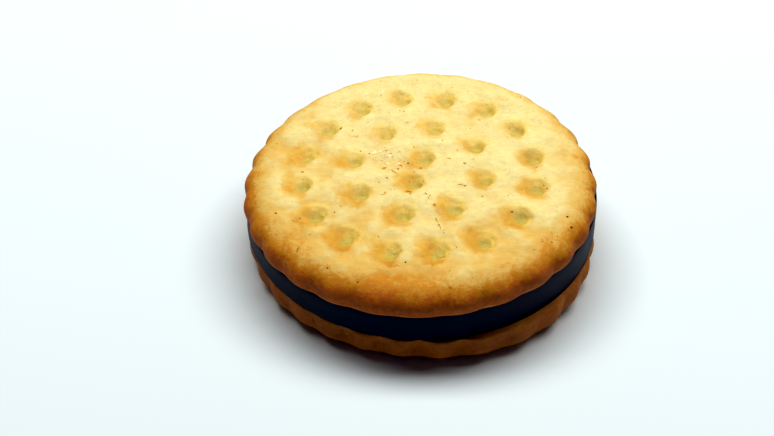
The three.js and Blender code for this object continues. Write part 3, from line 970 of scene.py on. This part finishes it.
lower_blank = dough_blank(
    "lower_blank",
    radius=33.23 * MM,
    widest_height=1.8 * MM,
    base_inset=0.55 * MM,
    shoulder_width=4.28 * MM,
    shoulder_height=5.3 * MM,
    fullness=3,
    crown=0.6 * MM,
)
lower = run_tree("lower_biscuit", lower_blank, cut_and_dock, {
    "Lobes": 30.0,
    "Lobe Depth": 0.85 * MM,
    "Lobe Turn": math.radians(0.6),
    "Lobe Drift": math.radians(1.7),
    "Drift Waves": 3.0,
    "Drift Crest": math.radians(-17),
    "Deepest Lobes": math.radians(90),
    "Oval": 0.25 * MM,
    "Oval Crest": math.radians(80),
    "Three-Sided": 0.29 * MM,
    "Three-Sided Crest": math.radians(59.5),
    "Four-Sided": 0.29 * MM,
    "Four-Sided Crest": math.radians(-42),
    "Rest Height": REST_HEIGHT,
    "Seed": 11,
    "Material": baked_dough(
        "brown baked dough",
        Pale=paint("#E0BC68"),
        Golden=paint("#D09840"),
        Amber=paint("#BC7820"),
        Brown=paint("#B0681C"),
        Scorched=paint("#86480F"),
        Lip=paint("#AA6C22"),
        Crease=paint("#C6822C"),
        Toasted_Wall=paint("#CC8E40"),
        Pale_Wall=paint("#E2B466"),
        Hole_Floor=paint("#BE9450"),
        Baked=0.2,
        Mottling=1.2,
        Blotches=0.4,
        Pale_Lobes=0.25,
        Seed=11.0,
    ),
})
put_on_frame(lower, Matrix.Rotation(math.pi, 4, "X"), "bottom_biscuit")
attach(lower, "root")
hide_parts("bottom_biscuit")


# ---- Chocolate cream -------------------------------------------------------
# A thick layer of very dark cream, pressed between the bases. Its side is smooth, bulges
# slightly and reaches almost to the biscuits' edges. It sticks to both bases.

CREAM_RADIUS = 32.4 * MM
CREAM_OVAL = 0.2 * MM
CREAM_EDGE_ROUNDING = 0.2 * MM
CREAM_FOOT = 0.35 * MM
CREAM_THICKNESS = 5.5 * MM
CREAM_SIDE_STEPS = 26
CREAM_POINTS = 672
CREAM_STICK = 0.02 * MM


def cream_blank():
    """A disc one unit high, whose side bulges and spreads at its foot."""
    rings = [(1, 0, 0, 0)]
    for one_in, reach in FLAT_RINGS:
        rings.append((CREAM_POINTS // one_in, CREAM_RADIUS * reach, 0, 0))
    for k in range(CREAM_SIDE_STEPS + 1):
        share = k / CREAM_SIDE_STEPS
        inset = CREAM_EDGE_ROUNDING * (2 * share - 1) ** 4 - CREAM_FOOT * (1 - share) ** 4
        rings.append((CREAM_POINTS, CREAM_RADIUS - inset, share, share))
    for one_in, reach in reversed(FLAT_RINGS):
        rings.append((CREAM_POINTS // one_in, CREAM_RADIUS * reach, 1, 1))
    rings.append((1, 0, 1, 1))
    return shell("cream_blank", rings)


def pressed_cream_tree():
    """Gives the blank its height between the biscuits and the soft waves of its side."""
    tree, given, result = shape_tree("pressed cream", {
        "Thickness": ("Float", CREAM_THICKNESS),
        "Slope": ("Float", 0.0),
        "Oval": ("Float", CREAM_OVAL),
        "Wave": ("Float", 0.12 * MM),
        "Seed": ("Float", 0.0),
        "Material": ("Material", None),
    })
    place = node(tree, "GeometryNodeInputPosition").outputs[0]
    x, y, share = node(tree, "ShaderNodeSeparateXYZ", Vector=place).outputs
    thickness = calc(tree, "MULTIPLY_ADD", x, given["Slope"], given["Thickness"])
    height = calc(tree, "MULTIPLY", thickness, share)
    flat = node(tree, "ShaderNodeCombineXYZ", X=x, Y=y).outputs[0]
    standing = node(tree, "ShaderNodeCombineXYZ", X=x, Y=y, Z=height).outputs[0]
    soft = calc(tree, "SUBTRACT", noise(tree, standing, 6 * MM, seed=given["Seed"]), 0.5)
    outward = vector_calc(tree, "NORMALIZE", flat).outputs[0]
    oval = wave(tree, calc(tree, "ARCTAN2", y, x), 2, given["Oval"], 0.0)
    bulge = scaled(tree, outward, calc(tree, "MULTIPLY_ADD", soft, given["Wave"], oval))
    moved = vector_calc(tree, "ADD", standing, bulge).outputs[0]
    shape = node(tree, "GeometryNodeSetPosition", Geometry=given["Geometry"],
                 Position=moved).outputs[0]
    shape = node(tree, "GeometryNodeRealizeInstances", Geometry=shape).outputs[0]
    shape = node(tree, "GeometryNodeSetMaterial", Geometry=shape,
                 Material=given["Material"]).outputs[0]
    tree.links.new(shape, result)
    return tree


def chocolate_cream_material():
    """Nearly black cream with a cold sheen and faint soft dents."""
    material, tree, surface = new_material("dark chocolate cream")
    place = node(tree, "ShaderNodeTexCoord").outputs["Object"]
    cloud = noise(tree, place, 2.5 * MM, 3.0)
    colour = colour_mix(tree, cloud, paint("#171628"), paint("#212038"))
    rough = calc(tree, "MULTIPLY_ADD", cloud, 0.14, 0.4)
    bump = node(tree, "ShaderNodeBump", Strength=0.3, Distance=0.05 * MM,
                Height=noise(tree, place, 1.1 * MM, 2.0))
    tree.links.new(colour, surface.inputs["Base Color"])
    tree.links.new(rough, surface.inputs["Roughness"])
    tree.links.new(bump.outputs[0], surface.inputs["Normal"])
    surface.inputs["Specular IOR Level"].default_value = 0.12
    return material


cream = run_tree("chocolate_cream_layer", cream_blank(), pressed_cream_tree(), {
    "Slope": math.tan(TOP_TILT),
    "Seed": 5.0,
    "Material": chocolate_cream_material(),
})
put_on_frame(cream, Matrix.Identity(4), "chocolate_cream")
cream_foot = mesh_box(cream.data)[0].z
cream.data.transform(Matrix.Translation((0, 0, REST_HEIGHT - CREAM_STICK - cream_foot)))
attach(cream, "root")
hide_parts("chocolate_cream")


# ---- Table, lights and camera ----------------------------------------------
# A white table under one broad soft light that hangs a little behind the biscuit, so that
# the near side is in its own shade. The camera looks down on it from the front.

TABLE_SIZE = 3.0
LIGHT_PLACE = (0.13, 0.365, 1.0)
LIGHT_WIDTH, LIGHT_DEPTH = 1.7, 0.45
LIGHT_POWER = 21.3
LIGHT_COLOUR = (0.99, 1.0, 0.985)
ROOM_COLOUR = (0.78, 0.64, 1.0, 1.0)
ROOM_BRIGHTNESS = 0.048
CAMERA_ELEVATION = math.radians(42.93)
CAMERA_DISTANCE = 232.3 * MM
FOCAL_PIXELS = 1265.8
PICTURE_WIDTH, PICTURE_HEIGHT = 774, 436
FACE_MIDDLE = Vector((-0.46, -0.05, 17.03)) * MM
FACE_MIDDLE_PIXEL = (418.6, 167.8)
SENSOR_WIDTH = 36.0
BLACK_LEVELS = (0.014, 0.012, 0.009)
PICTURE_GAMMA = 0.77


def table_top():
    """The plain pale surface under the biscuit."""
    half = TABLE_SIZE / 2
    mesh = bpy.data.meshes.new("table_top")
    corners = [(-half, -half, 0), (half, -half, 0), (half, half, 0), (-half, half, 0)]
    mesh.from_pydata(corners, [], [(0, 1, 2, 3)])
    material, _, surface = new_material("white table")
    surface.inputs["Base Color"].default_value = paint("#E2EAEB")
    surface.inputs["Roughness"].default_value = 0.9
    surface.inputs["Specular IOR Level"].default_value = 0.1
    mesh.materials.append(material)
    table = bpy.data.objects.new("table_top", mesh)
    bpy.context.scene.collection.objects.link(table)


def overhead_light():
    """A broad soft light that faces straight down."""
    data = bpy.data.lights.new("overhead", "AREA")
    data.shape = "RECTANGLE"
    data.size, data.size_y = LIGHT_WIDTH, LIGHT_DEPTH
    data.energy = LIGHT_POWER
    data.color = LIGHT_COLOUR
    light = bpy.data.objects.new("overhead", data)
    light.location = LIGHT_PLACE
    bpy.context.scene.collection.objects.link(light)


def dim_room():
    """The faint cold light that reaches the shaded sides from the room."""
    world = bpy.data.worlds.new("room")
    world.use_nodes = True
    background = world.node_tree.nodes["Background"]
    background.inputs["Color"].default_value = ROOM_COLOUR
    background.inputs["Strength"].default_value = ROOM_BRIGHTNESS
    bpy.context.scene.world = world


def tone_picture():
    """Deepens the shadows of the picture a little and lowers its black."""
    view = bpy.context.scene.view_settings
    view.view_transform = "Standard"
    view.gamma = PICTURE_GAMMA
    view.use_curve_mapping = True
    view.curve_mapping.black_level = BLACK_LEVELS


def aim_camera():
    """Looks along +Y and down, with the middle of the upper face on its pixel."""
    data = bpy.data.cameras.new("camera")
    data.sensor_width = SENSOR_WIDTH
    data.lens = FOCAL_PIXELS * SENSOR_WIDTH / PICTURE_WIDTH
    data.clip_start = 0.01
    forward = Vector((0, math.cos(CAMERA_ELEVATION), -math.sin(CAMERA_ELEVATION)))
    right = Vector((1, 0, 0))
    up = right.cross(forward)
    metres_per_pixel = CAMERA_DISTANCE / FOCAL_PIXELS
    across = (FACE_MIDDLE_PIXEL[0] - PICTURE_WIDTH / 2) * metres_per_pixel
    above = (PICTURE_HEIGHT / 2 - FACE_MIDDLE_PIXEL[1]) * metres_per_pixel
    camera = bpy.data.objects.new("camera", data)
    camera.location = FACE_MIDDLE - forward * CAMERA_DISTANCE - right * across - up * above
    camera.rotation_euler = Matrix((right, up, -forward)).transposed().to_euler()
    bpy.context.scene.collection.objects.link(camera)
    bpy.context.scene.camera = camera


table_top()
overhead_light()
dim_room()
tone_picture()
aim_camera()
